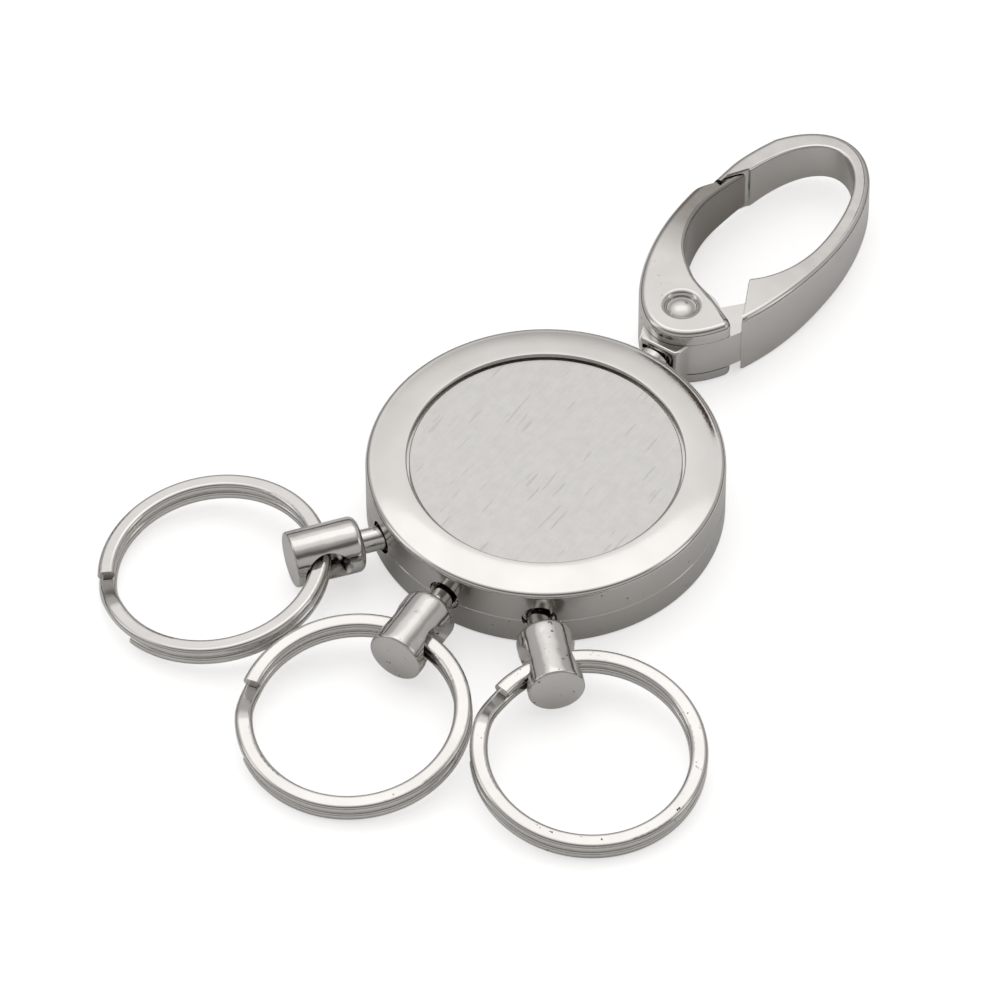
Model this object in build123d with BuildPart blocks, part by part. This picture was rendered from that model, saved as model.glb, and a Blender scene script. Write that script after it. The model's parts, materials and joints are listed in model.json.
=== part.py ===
from build123d import *
import os
from math import asin, cos, degrees, radians, sin, sqrt

# Key organiser: a flat round housing with a swivelling snap hook on one side and three split rings on
# the other. Each ring hangs in a pin that turns in a plug sleeve, and the sleeve pulls out of the
# housing while the button in the back is pressed.
#
# Frame: millimetres. The origin is the centre of the disc's back face, +Z points to the front plate
# and +Y to the hook. Every moving axis lies at mid_z, half-way up the disc.

# --- driving dimensions: disc ---
disc_radius = 16.35
disc_height = 6.9
mid_z = disc_height / 2
split_z = 3.1               # parting line between the two shells
wall_inner_radius = 14.9
back_floor = 0.8
front_floor = (5.2, 5.95)   # web under the front plate
bezel_inner_radius = 12.6
plate_radius = 12.48
plate_thickness = 0.5
bezel_drop = 0.3            # how far the crowned bezel falls towards its rim
part_gap = 0.05             # play between pieces that only rest on each other
running_gap = 0.05          # radial play of a shaft in its hole

# --- driving dimensions: fan of three ring holders ---
entry_angles = (238.0, 270.0, 302.0)    # where the bores meet the rim, seen from the front
bore_angles = (232.5, 273.5, 314.5)     # the way each bore points, outwards
sleeve_radius = 1.5
sleeve_mouth = -0.9                     # distances along a bore are measured out from the rim
sleeve_length = 6.5
groove_at = -6.2
groove_width = 0.7
groove_radius = 1.2
journal_radius = 0.85
neck_radius = 1.12
hole_at = 5.6                           # ring hole, from the rim
barrel_radius = 2.58
barrel_length = 6.6
barrel_start = 1.95
hole_throat = (1.45, 1.4)               # half the hole's width along the bore, and half its height
hole_mouth = (2.45, 1.95)
hole_mouth_at = 2.9                     # where the mouth's size is taken, from the pin's axis

# --- driving dimensions: split rings ---
ring_outer_radius = 10.55
wire_width = 1.6
wire_height = 0.97
wire_round = 0.44
coil_level = 0.515                      # each coil's mid-height above or below the ring's middle
ring_mid_radius = ring_outer_radius - wire_width / 2
floor_clearance = 0.03
ring_yaws = (219.5, 272.6, 324.2)       # the way each ring lies from its hole
joggle_starts = (-4.0, -80.0, -148.0)   # where the wire climbs, from the ring's far point
joggle_span = 26.0
gap_span = 43.0

# --- driving dimensions: button and locks ---
button_radius = 4.0
button_inset = 0.25
dish_edge = 3.2
dish_sink = 0.3
release_plate_height = 0.4
release_disc_radius = 5.2
arm_half_width = 1.6
button_travel = 0.6         # the room that the core leaves the release plate
lock_wire_radius = 0.28

# --- driving dimensions: hook ---
loop_y = 35.9               # height of the loop's widest place
loop_half_width = 7.8
loop_nose = 14.35           # from loop_y to the far end
loop_tail = 17.0            # from loop_y to the disc end
eye_centre = (0.4, 36.5)
eye_half_width = 5.6
eye_nose = 11.95
eye_tail = 8.6
base_y = 17.7
taper_from = 29.0
taper_slope = 0.072         # how fast each face falls towards the nose
pivot = (-0.2, 22.7)
web_bottom = 1.5
web_top = disc_height - web_bottom
web_radius = 4.2
head_radius = 4.85
rivet_radius = 0.85
seat_radius = 1.8
seat_depth = 0.45
head_edge = 1.35
post_radius = 1.3

sleeve_tail = sleeve_mouth - sleeve_length
plate_z = back_floor + part_gap
core_bottom = plate_z
core_top = front_floor[0] - part_gap
# the rings lie on the table with their far sides and hang in their holes with their near sides
ring_droop = (mid_z - coil_level - wire_height / 2 - floor_clearance) / (2 * ring_mid_radius + wire_width / 2)

os.makedirs("parts", exist_ok=True)


def direction(angle):
    return Vector(cos(radians(angle)), sin(radians(angle)), 0)


def dome_radius(edge, rise):
    """Radius of the sphere whose cap has the given edge radius and rise."""
    return (edge**2 + rise**2) / (2 * rise)


def bore_plane(number, distance):
    """Plane square to a bore, the given distance outside the rim; its X is level."""
    origin = direction(entry_angles[number]) * disc_radius + direction(bore_angles[number]) * distance
    outward = direction(bore_angles[number])
    return Plane(origin=(origin.X, origin.Y, mid_z), x_dir=Vector(0, 0, 1).cross(outward), z_dir=outward)


def bore_section(number):
    """Plane through a bore's axis: its X runs out along the bore, its Y points up."""
    start = bore_plane(number, 0)
    return Plane(origin=start.origin, x_dir=start.z_dir, z_dir=start.z_dir.cross(Vector(0, 0, 1)))


def hook_side_plane():
    """Plane along the hook: its X runs along +Y of the part, its Y points up."""
    return Plane(origin=(0, 0, 0), x_dir=(0, 1, 0), z_dir=(1, 0, 0))


def ring_plane(number):
    """Plane of a ring: its X points from the hole to the ring's far side."""
    level = direction(ring_yaws[number])
    outward = level * sqrt(1 - ring_droop**2) - Vector(0, 0, ring_droop)
    across = Vector(0, 0, 1).cross(level)
    centre = bore_plane(number, hole_at).origin + outward * ring_mid_radius
    return Plane(origin=centre, x_dir=outward, z_dir=outward.cross(across))


def wire_section(frame, angle, level):
    """Plane square to a ring's wire at the given angle round the ring and the given height."""
    radial = frame.x_dir * cos(radians(angle)) + frame.y_dir * sin(radians(angle))
    origin = frame.origin + radial * ring_mid_radius + frame.z_dir * level
    return Plane(origin=origin, x_dir=radial, z_dir=frame.z_dir.cross(radial))


# The loop's outline is two half-ellipses that share their widest place.
with BuildSketch() as loop_outline:
    with BuildLine():
        EllipticalCenterArc((0, loop_y), loop_half_width, loop_nose, 0, arc_size=180)
        EllipticalCenterArc((0, loop_y), loop_half_width, loop_tail, 180, arc_size=180)
    make_face()

with BuildSketch() as eye_outline:
    with BuildLine():
        EllipticalCenterArc(eye_centre, eye_half_width, eye_nose, 0, arc_size=180)
        EllipticalCenterArc(eye_centre, eye_half_width, eye_tail, 180, arc_size=180)
    make_face()

# Side view of the hook: even at the pivot, thinner towards the nose.
nose_y = loop_y + loop_nose + 1
nose_drop = taper_slope * (nose_y - taper_from)
with BuildSketch(hook_side_plane()) as hook_side:
    with BuildLine():
        Polyline(
            (base_y - 1, 0),
            (taper_from, 0),
            (nose_y, nose_drop),
            (nose_y, disc_height - nose_drop),
            (taper_from, disc_height),
            (base_y - 1, disc_height),
            close=True,
        )
    make_face()

# What the release plate covers, seen from the back: a disc with an arm under each sleeve.
arm_inner = -14.0
arm_outer = groove_at + 0.7


def release_outline(grow):
    """Outline of the release plate, made larger all round by grow."""
    with BuildSketch() as outline:
        Circle(release_disc_radius + grow)
        for number in range(3):
            middle = bore_plane(number, (arm_inner + arm_outer) / 2).origin
            with Locations(Location((middle.X, middle.Y, 0), (0, 0, bore_angles[number]))):
                Rectangle(arm_outer - arm_inner + 2 * grow, 2 * (arm_half_width + grow))
    return outline.sketch


# --- front shell: bezel, recess and rim ---
recess_top = disc_height - 0.15
rim_top = disc_height - bezel_drop
screw_radius = 11.3
screw_angles = (-10, 42, 138, 190)
with BuildPart() as front_shell:
    with BuildSketch(Plane.XZ):
        with BuildLine():
            Polyline(
                (bezel_inner_radius, recess_top),
                (bezel_inner_radius, front_floor[1]),
                (0, front_floor[1]),
                (0, front_floor[0]),
                (wall_inner_radius, front_floor[0]),
                (wall_inner_radius, split_z),
                (disc_radius - 0.07, split_z),
                (disc_radius, split_z + 0.07),
                (disc_radius, rim_top - 0.55),
            )
            RadiusArc((disc_radius, rim_top - 0.55), (disc_radius - 0.55, rim_top), -0.6)
            RadiusArc((disc_radius - 0.55, rim_top), (bezel_inner_radius + 0.15, disc_height), -18)
            RadiusArc((bezel_inner_radius + 0.15, disc_height), (bezel_inner_radius, recess_top), -0.15)
        make_face()
    revolve(axis=Axis.Z)
    # bores for the sleeves, half in each shell
    for number in range(3):
        with BuildSketch(bore_plane(number, -3)):
            Circle(sleeve_radius + running_gap)
        extrude(amount=5, mode=Mode.SUBTRACT)
    # hole for the swivel bush, and room for the post's head behind it
    with BuildSketch(Plane.XZ.offset(-disc_radius - 1)):
        with Locations((0, mid_z)):
            Circle(2.02)
    extrude(amount=3.9, mode=Mode.SUBTRACT)
    with BuildSketch(Plane.XZ.offset(-11.9)):
        with Locations((0, mid_z)):
            Circle(2.25)
    extrude(amount=-1.6, mode=Mode.SUBTRACT)
    # countersunk screw holes under the plate
    with BuildSketch(Plane.XY.offset(front_floor[0])):
        for angle in screw_angles:
            with Locations(direction(angle) * screw_radius):
                Circle(0.75)
    extrude(amount=1, mode=Mode.SUBTRACT)
    with BuildSketch(Plane.XY.offset(front_floor[1])):
        for angle in screw_angles:
            with Locations(direction(angle) * screw_radius):
                Circle(1.35)
    extrude(amount=-0.5, taper=45, mode=Mode.SUBTRACT)
front_shell.part.label = "front_shell"
export_step(front_shell.part, "parts/front_shell.step")

# --- back shell: floor, rim and screw posts ---
with BuildPart() as back_shell:
    with BuildSketch(Plane.XZ):
        with BuildLine():
            Polyline((0, 0), (disc_radius - 0.45, 0))
            RadiusArc((disc_radius - 0.45, 0), (disc_radius, 0.45), -0.45)
            Polyline(
                (disc_radius, 0.45),
                (disc_radius, split_z - 0.07),
                (disc_radius - 0.07, split_z),
                (wall_inner_radius, split_z),
                (wall_inner_radius, back_floor),
                (0, back_floor),
                (0, 0),
            )
        make_face()
    revolve(axis=Axis.Z)
    with BuildSketch(Plane.XY.offset(back_floor)):
        for angle in screw_angles:
            with Locations(direction(angle) * screw_radius):
                Circle(1.4)
    extrude(amount=core_top - back_floor)
    with BuildSketch(Plane.XY.offset(core_top)):
        for angle in screw_angles:
            with Locations(direction(angle) * screw_radius):
                Circle(0.62)
    extrude(amount=-3, mode=Mode.SUBTRACT)
    for number in range(3):
        with BuildSketch(bore_plane(number, -3)):
            Circle(sleeve_radius + running_gap)
        extrude(amount=5, mode=Mode.SUBTRACT)
    with BuildSketch(Plane.XZ.offset(-disc_radius - 1)):
        with Locations((0, mid_z)):
            Circle(2.02)
    extrude(amount=3.5, mode=Mode.SUBTRACT)
    # window for the button, eased at its outer edge
    with BuildSketch():
        Circle(button_radius + 0.1)
    extrude(amount=back_floor, mode=Mode.SUBTRACT)
    lowest_circles = back_shell.edges().filter_by(GeomType.CIRCLE).group_by(Axis.Z)[0]
    fillet(lowest_circles.sort_by(SortBy.RADIUS)[0], 0.25)
back_shell.part.label = "back_shell"
export_step(back_shell.part, "parts/back_shell.step")

# --- inner core: block that guides the sleeves and holds the springs ---
with BuildPart() as inner_core:
    with BuildSketch(Plane.XY.offset(core_bottom)):
        Circle(wall_inner_radius - 0.1)
    extrude(amount=core_top - core_bottom)
    # room for the release plate and its travel
    room = release_plate_height + button_travel + 2 * part_gap
    extrude(release_outline(0.3).moved(Location((0, 0, core_bottom))), amount=room, mode=Mode.SUBTRACT)
    with BuildSketch(Plane.XY.offset(core_bottom)):
        for angle in screw_angles:
            with Locations(direction(angle) * screw_radius):
                Circle(1.5)
    extrude(amount=core_top - core_bottom, mode=Mode.SUBTRACT)
    # well for the button spring
    with BuildSketch(Plane.XY.offset(core_bottom)):
        Circle(2.6)
    extrude(amount=4.0, mode=Mode.SUBTRACT)
    for number in range(3):
        with BuildSketch(bore_plane(number, sleeve_tail - 1.3)):
            Circle(sleeve_radius + running_gap)
        extrude(amount=9, mode=Mode.SUBTRACT)
        # slot for the hairpin spring
        with BuildSketch(bore_plane(number, groove_at - 0.4)):
            with Locations((0, -0.3)):
                Rectangle(4.8, 4.6)
        extrude(amount=0.8, mode=Mode.SUBTRACT)
    # cavity for the post's head and for the bush
    with BuildSketch(Plane.XZ.offset(-11.9)):
        with Locations((0, mid_z)):
            Circle(2.25)
    extrude(amount=-4, mode=Mode.SUBTRACT)
inner_core.part.label = "inner_core"
export_step(inner_core.part, "parts/inner_core.step")

# --- brushed front plate ---
with BuildPart() as front_plate:
    with BuildSketch(Plane.XY.offset(front_floor[1])):
        Circle(plate_radius)
    extrude(amount=plate_thickness)
    chamfer(front_plate.edges().group_by(Axis.Z)[-1], 0.06)
front_plate.part.label = "front_plate"
export_step(front_plate.part, "parts/front_plate.step")

# --- screws that hold the shells together ---
with BuildPart() as housing_screws:
    for angle in screw_angles:
        place = direction(angle) * screw_radius
        with BuildSketch(Plane(origin=(place.X, place.Y, 0), x_dir=(1, 0, 0), z_dir=(0, -1, 0))):
            with BuildLine():
                Polyline((0, 2.3), (0.6, 2.3), (0.6, 5.35), (1.2, 5.93), (0, 5.93), close=True)
            make_face()
        revolve(axis=Axis((place.X, place.Y, 0), (0, 0, 1)))
    with BuildSketch(Plane.XY.offset(5.93)):
        for angle in screw_angles:
            with Locations(direction(angle) * screw_radius):
                RegularPolygon(0.5, 6)
    extrude(amount=-0.35, mode=Mode.SUBTRACT)
housing_screws.part.label = "housing_screws"
export_step(housing_screws.part, "parts/housing_screws.step")

# --- release button and the plate that it lifts ---
with BuildPart() as release_button:
    with BuildSketch(Plane.XY.offset(button_inset)):
        Circle(button_radius)
    extrude(amount=plate_z - button_inset)
    # finger dish
    with BuildSketch(Plane.XZ):
        with BuildLine():
            Polyline((0, button_inset + dish_sink), (0, 0), (dish_edge, 0), (dish_edge, button_inset))
            dish_sphere = dome_radius(dish_edge, dish_sink)
            dish_centre = button_inset + dish_sink - dish_sphere
            dish_reach = degrees(asin(dish_edge / dish_sphere))
            CenterArc((0, dish_centre), dish_sphere, 90 - dish_reach, dish_reach)
        make_face()
    revolve(axis=Axis.Z, mode=Mode.SUBTRACT)
    lowest_circles = release_button.edges().filter_by(GeomType.CIRCLE).group_by(Axis.Z)[0]
    chamfer(lowest_circles.sort_by(SortBy.RADIUS)[-1], 0.12)
release_button.part.label = "release_button"
export_step(release_button.part, "parts/release_button.step")

with BuildPart() as release_plate:
    extrude(release_outline(0).moved(Location((0, 0, plate_z))), amount=release_plate_height)
    chamfer(release_plate.edges().filter_by(GeomType.LINE).group_by(Axis.Z)[-1], 0.3)
release_plate.part.label = "release_plate"
export_step(release_plate.part, "parts/release_plate.step")

# --- button spring, standing on the release plate ---
spring_bottom = plate_z + release_plate_height
spring_top = core_bottom + 4.0
spring_wire = 0.2
with BuildPart() as button_spring:
    with BuildLine() as coil:
        Helix(
            pitch=0.85,
            height=spring_top - spring_bottom - 2 * spring_wire - 0.02,
            radius=2.0,
            center=(0, 0, spring_bottom + spring_wire + 0.01),
        )
    with BuildSketch(Plane(origin=coil.line @ 0, z_dir=coil.line % 0)):
        Circle(spring_wire)
    sweep(path=coil.line, is_frenet=True)
button_spring.part.label = "button_spring"
export_step(button_spring.part, "parts/button_spring.step")

# --- one set for each ring: sleeve, pin, pin nose, lock spring, split ring ---
for number in range(3):
    name = str(number + 1)
    start = bore_plane(number, 0)
    bore_axis = Axis(start.origin, start.z_dir)

    with BuildPart() as plug_sleeve:
        with BuildSketch(bore_section(number)):
            with BuildLine():
                groove_in = groove_at - groove_width / 2
                groove_out = groove_at + groove_width / 2
                bore_radius = journal_radius + running_gap
                Polyline(
                    (sleeve_tail, bore_radius),
                    (sleeve_tail, sleeve_radius - 0.2),
                    (sleeve_tail + 0.2, sleeve_radius),
                    (groove_in, sleeve_radius),
                    (groove_in, groove_radius),
                    (groove_out, groove_radius),
                    (groove_out, sleeve_radius),
                    (sleeve_mouth - 0.1, sleeve_radius),
                    (sleeve_mouth, sleeve_radius - 0.1),
                    (sleeve_mouth, bore_radius),
                    close=True,
                )
            make_face()
        revolve(axis=bore_axis)
    plug_sleeve.part.label = "plug_sleeve_" + name
    export_step(plug_sleeve.part, "parts/plug_sleeve_" + name + ".step")

    with BuildPart() as swivel_pin:
        barrel_end = barrel_start + barrel_length
        with BuildSketch(bore_section(number)):
            with BuildLine():
                Polyline(
                    (sleeve_tail - 0.95, 0),
                    (sleeve_tail - 0.95, 0.6),
                    (sleeve_tail - 0.05, 0.6),
                    (sleeve_tail - 0.05, journal_radius),
                    (sleeve_mouth + 0.04, journal_radius),
                    (sleeve_mouth + 0.04, neck_radius),
                    (barrel_start, neck_radius),
                    (barrel_start, barrel_radius - 0.75),
                )
                RadiusArc((barrel_start, barrel_radius - 0.75), (barrel_start + 0.75, barrel_radius), 0.8)
                Polyline(
                    (barrel_start + 0.75, barrel_radius),
                    (barrel_end - 0.12, barrel_radius),
                    (barrel_end, barrel_radius - 0.12),
                    (barrel_end, 0),
                    (sleeve_tail - 0.95, 0),
                )
            make_face()
        revolve(axis=bore_axis)
        # waisted cross-hole, wider than high so that the split ring can lie at a slant in it
        hole = bore_plane(number, hole_at)
        for side, (half_width, half_height) in ((-1, hole_mouth), (0, hole_throat), (1, hole_mouth)):
            centre = hole.origin + hole.x_dir * side * hole_mouth_at
            with BuildSketch(Plane(origin=centre, x_dir=hole.z_dir, z_dir=hole.x_dir)):
                Ellipse(half_width, half_height)
        loft(mode=Mode.SUBTRACT)
    swivel_pin.part.label = "swivel_pin_" + name
    export_step(swivel_pin.part, "parts/swivel_pin_" + name + ".step")

    with BuildPart() as pin_nose:
        with BuildSketch(bore_plane(number, sleeve_tail - 0.95)):
            Circle(1.3)
            Circle(0.6, mode=Mode.SUBTRACT)
        extrude(amount=0.9)
        chamfer(pin_nose.edges().filter_by(GeomType.CIRCLE).sort_by(SortBy.RADIUS)[-2:], 0.15)
    pin_nose.part.label = "pin_nose_" + name
    export_step(pin_nose.part, "parts/pin_nose_" + name + ".step")

    # hairpin wire that straddles the sleeve's groove
    with BuildPart() as lock_spring:
        leg_x = groove_radius + 0.02 + lock_wire_radius
        leg_foot = 1.35 - mid_z
        groove_plane = bore_plane(number, groove_at)
        with BuildLine(groove_plane) as hairpin:
            Line((-leg_x, leg_foot), (-leg_x, 0))
            ThreePointArc((-leg_x, 0), (0, leg_x), (leg_x, 0))
            Line((leg_x, 0), (leg_x, leg_foot))
        foot = groove_plane.from_local_coords((-leg_x, leg_foot))
        with BuildSketch(Plane(origin=foot, x_dir=groove_plane.x_dir, z_dir=(0, 0, 1))):
            Circle(lock_wire_radius)
        sweep(path=hairpin.line)
    lock_spring.part.label = "lock_spring_" + name
    export_step(lock_spring.part, "parts/lock_spring_" + name + ".step")

    # split ring: a lower coil that climbs through a joggle into the upper coil
    frame = ring_plane(number)
    ring_axis = Axis(frame.origin, frame.z_dir)
    joggle = joggle_starts[number]

    with BuildPart() as split_ring:
        with BuildSketch(wire_section(frame, joggle + gap_span, -coil_level)):
            RectangleRounded(wire_width, wire_height, wire_round)
        revolve(axis=ring_axis, revolution_arc=360 - gap_span)
        with BuildSketch(wire_section(frame, joggle + joggle_span, coil_level)):
            RectangleRounded(wire_width, wire_height, wire_round)
        revolve(axis=ring_axis, revolution_arc=360 - joggle_span)
        climb_steps = 6
        for step in range(climb_steps + 1):
            share = step / climb_steps
            level = coil_level * (6 * share**2 - 4 * share**3 - 1)
            with BuildSketch(wire_section(frame, joggle + joggle_span * share, level)):
                RectangleRounded(wire_width, wire_height, wire_round)
        loft()
    split_ring.part.label = "split_ring_" + name
    export_step(split_ring.part, "parts/split_ring_" + name + ".step")

# --- swivel post and its bush ---
with BuildPart() as swivel_post:
    with BuildSketch(hook_side_plane()):
        with BuildLine():
            Polyline(
                (12.3, mid_z),
                (12.3, mid_z + 2.1),
                (13.4, mid_z + 2.1),
                (13.4, mid_z + post_radius),
                (16.55, mid_z + post_radius),
                (16.55, mid_z + 1.9),
                (17.6, mid_z + 1.9),
                (17.6, mid_z + post_radius),
                (20.2, mid_z + post_radius),
                (20.2, mid_z),
                close=True,
            )
        make_face()
    revolve(axis=Axis((0, 0, mid_z), (0, 1, 0)))
swivel_post.part.label = "swivel_post"
export_step(swivel_post.part, "parts/swivel_post.step")

with BuildPart() as swivel_bush:
    with BuildSketch(Plane.XZ.offset(-13.5)):
        with Locations((0, mid_z)):
            Circle(2.0)
            Circle(post_radius + running_gap, mode=Mode.SUBTRACT)
    extrude(amount=-2.7)
swivel_bush.part.label = "swivel_bush"
export_step(swivel_bush.part, "parts/swivel_bush.step")

# --- hook frame ---
with BuildPart() as hook_frame:
    # full-height loop, from the notch beside the web round to the lip at the nose
    with BuildSketch():
        add(loop_outline.sketch)
        add(eye_outline.sketch, mode=Mode.SUBTRACT)
        with BuildLine():
            Polyline(
                (-10, 38.2),
                (-6.75, 38.2),
                (-4.95, 41.35),
                (-3, 41.35),
                (0.4, 36),
                (3.4, 28.4),
                (5.6, 23.9),
                (10, 22),
                (10, 14),
                (-10, 14),
                close=True,
            )
        make_face(mode=Mode.SUBTRACT)
        # the nose is drawn in a little towards its lip
        with BuildLine():
            Polyline((-10, 38), (-6.8, 38), (-6.7, 41.4), (-5.3, 46.4), (-10, 46.4), close=True)
        make_face(mode=Mode.SUBTRACT)
    extrude(amount=disc_height)
    extrude(hook_side.sketch, amount=20, both=True, mode=Mode.INTERSECT)
    # thin web between the gate's cheeks, with a shoulder that runs out to the notch
    with BuildSketch(Plane.XY.offset(web_bottom)):
        with BuildLine():
            Polyline(pivot, (3.9, 27.3), (3.5, 28.6), (12, 30), (12, 16), (0, 16), close=True)
        make_face()
        with Locations(pivot):
            Circle(web_radius)
        add(loop_outline.sketch, mode=Mode.INTERSECT)
        with Locations((0, base_y + 2.2)):
            RectangleRounded(5.0, 4.4, 0.8)
    extrude(amount=web_top - web_bottom)
    # pocket that shows the post, and the post's hole
    with BuildSketch(Plane.XZ.offset(-base_y)):
        with Locations((0, mid_z)):
            Rectangle(3.0, 2.9)
    extrude(amount=-0.8, mode=Mode.SUBTRACT)
    with BuildSketch(Plane.XZ.offset(-base_y)):
        with Locations((0, mid_z)):
            Circle(post_radius + 0.01)
    extrude(amount=-2.55, mode=Mode.SUBTRACT)
    # rivet hole and the pocket of the gate's spring
    with BuildSketch(Plane.XY):
        with Locations(pivot):
            Circle(rivet_radius + 0.01)
    extrude(amount=disc_height, mode=Mode.SUBTRACT)
    with BuildSketch(Plane.XY.offset(mid_z - 1)):
        with Locations(pivot):
            Circle(1.9)
    extrude(amount=2, mode=Mode.SUBTRACT)
hook_frame.part.label = "hook_frame"
export_step(hook_frame.part, "parts/hook_frame.step")

# --- hook gate: two cheeks round the web, one lever in front of it ---
tip_outer = (-6.73, 38.0)
tip_inner = (-5.04, 40.95)
head_arc = [Vector(*pivot) + direction(angle) * head_radius for angle in (-90, -45, -6)]
with BuildSketch() as gate_outline:
    with BuildLine():
        Line(tip_inner, tip_outer)
        shoulder = Spline(tip_outer, (-7.45, 36.9), (-7.79, 34.9), tangents=((-0.6, -0.4), (0, -1)))
        Line(shoulder @ 1, (-11, 34.8))
        Polyline((-11, 34.8), (-11, 14), (0, 14), head_arc[0])
        ThreePointArc(*head_arc)
        Line(head_arc[-1], (4.3, 23.3))
        Spline((4.3, 23.3), (1.7, 24.6), (-1.6, 26.45), (-4.5, 29.8), (-5.85, 35.0), tip_inner)
    make_face()
    add(loop_outline.sketch, mode=Mode.INTERSECT)

with BuildPart() as hook_gate:
    with BuildSketch():
        add(gate_outline.sketch)
    extrude(amount=disc_height)
    extrude(hook_side.sketch, amount=20, both=True, mode=Mode.INTERSECT)
    # slot for the web, open far enough for the gate to swing in
    with BuildSketch(Plane.XY.offset(web_bottom - part_gap)):
        with Locations(pivot):
            Circle(web_radius + 0.1)
        with BuildLine():
            Polyline(pivot, (pivot[0] + 2.1, pivot[1] + 10), (12, 32), (12, 10), (-5.5, 10), close=True)
        make_face()
    extrude(amount=web_top - web_bottom + 2 * part_gap, mode=Mode.SUBTRACT)
    with BuildSketch():
        with Locations(pivot):
            Circle(rivet_radius + running_gap)
    extrude(amount=disc_height, mode=Mode.SUBTRACT)
    # dished seats for the rivet's heads
    for face_z, depth in ((disc_height, -seat_depth), (0, seat_depth)):
        with BuildSketch(Plane.XY.offset(face_z)):
            with Locations(pivot):
                Circle(seat_radius)
        extrude(amount=depth, mode=Mode.SUBTRACT)
hook_gate.part.label = "hook_gate"
export_step(hook_gate.part, "parts/hook_gate.step")

# --- gate rivet with domed heads ---
with BuildPart() as gate_rivet:
    head_start = seat_depth - 0.03
    head_rise = head_start - 0.04
    head_sphere = dome_radius(head_edge, head_rise)
    head_reach = degrees(asin(head_edge / head_sphere))
    head_centre = head_start - head_rise + head_sphere
    with BuildSketch(Plane(origin=(pivot[0], pivot[1], 0), x_dir=(1, 0, 0), z_dir=(0, -1, 0))):
        with BuildLine():
            Line((0, head_start - head_rise), (0, disc_height - head_start + head_rise))
            CenterArc((0, disc_height - head_centre), head_sphere, 90 - head_reach, head_reach)
            Polyline(
                (head_edge, disc_height - head_start),
                (rivet_radius, disc_height - head_start),
                (rivet_radius, head_start),
                (head_edge, head_start),
            )
            CenterArc((0, head_centre), head_sphere, -90, head_reach)
        make_face()
    revolve(axis=Axis((pivot[0], pivot[1], 0), (0, 0, 1)))
gate_rivet.part.label = "gate_rivet"
export_step(gate_rivet.part, "parts/gate_rivet.step")

# --- gate spring: torsion coil round the rivet ---
with BuildPart() as gate_spring:
    with BuildLine() as gate_coil:
        Helix(pitch=0.45, height=1.35, radius=1.35, center=(pivot[0], pivot[1], mid_z - 0.675))
    with BuildSketch(Plane(origin=gate_coil.line @ 0, z_dir=gate_coil.line % 0)):
        Circle(0.18)
    sweep(path=gate_coil.line, is_frenet=True)
gate_spring.part.label = "gate_spring"
export_step(gate_spring.part, "parts/gate_spring.step")
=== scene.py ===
import json
from math import asin, cos, degrees, pi, radians, sin

import bmesh
import bpy
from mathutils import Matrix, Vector


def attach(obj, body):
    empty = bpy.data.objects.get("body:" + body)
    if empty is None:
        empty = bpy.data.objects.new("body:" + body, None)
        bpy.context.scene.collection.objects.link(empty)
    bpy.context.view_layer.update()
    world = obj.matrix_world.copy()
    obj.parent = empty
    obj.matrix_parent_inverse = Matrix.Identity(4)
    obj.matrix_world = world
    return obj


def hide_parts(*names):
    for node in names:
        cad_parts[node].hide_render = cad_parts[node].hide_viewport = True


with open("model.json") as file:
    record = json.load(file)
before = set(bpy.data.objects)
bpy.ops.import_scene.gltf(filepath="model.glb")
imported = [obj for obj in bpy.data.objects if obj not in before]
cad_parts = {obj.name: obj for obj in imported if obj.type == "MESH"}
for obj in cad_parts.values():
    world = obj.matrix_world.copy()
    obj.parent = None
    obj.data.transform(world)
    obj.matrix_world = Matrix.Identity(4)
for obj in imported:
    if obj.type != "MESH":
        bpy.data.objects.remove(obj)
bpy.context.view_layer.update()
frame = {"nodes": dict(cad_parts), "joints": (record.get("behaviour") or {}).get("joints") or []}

# %% [markdown]
# # A key organiser
# The object is a flat round case with a swivelling snap hook on one side and three split rings on the
# other. The design is already fixed: every part has its place, its size and its joints. What is left
# for Blender is what the eye sees. The case, the hook and the ring holders are rebuilt here with finer
# curves and softer edges, and every metal gets its own finish.
#
# All design sizes are in millimetres, and the scene is in metres, so one helper scales the points.

# %% Units and shared sizes
MM = 0.001
DISC_RADIUS = 16.35
DISC_HEIGHT = 6.9
MID_Z = DISC_HEIGHT / 2
SPLIT_Z = 3.1
PLATE_RADIUS = 12.4
RECESS_RADIUS = 12.6
RECESS_FLOOR = 5.95
PLATE_TOP = 6.45
HOOK_PIVOT = (-0.2, 22.7)
ROUND_STEPS = 224


def joint(name):
    """The record of a joint, for its axis and its place."""
    return next(item for item in frame["joints"] if item["name"] == name)


# %% [markdown]
# ## Camera
# A product like this is shown from a standing height, on a long lens, so that the round case keeps an
# even ellipse. The camera looks down at 48 degrees. Its azimuth says how far the object is turned: at
# 34 degrees the hook points up and to the right of the picture.

# %% Camera
VIEW_AZIMUTH = radians(34)
VIEW_ELEVATION = radians(48.2)
VIEW_DISTANCE = 0.7
VIEW_LENS = 278.5
VIEW_SHIFT = (-0.0458, -0.043)

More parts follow.
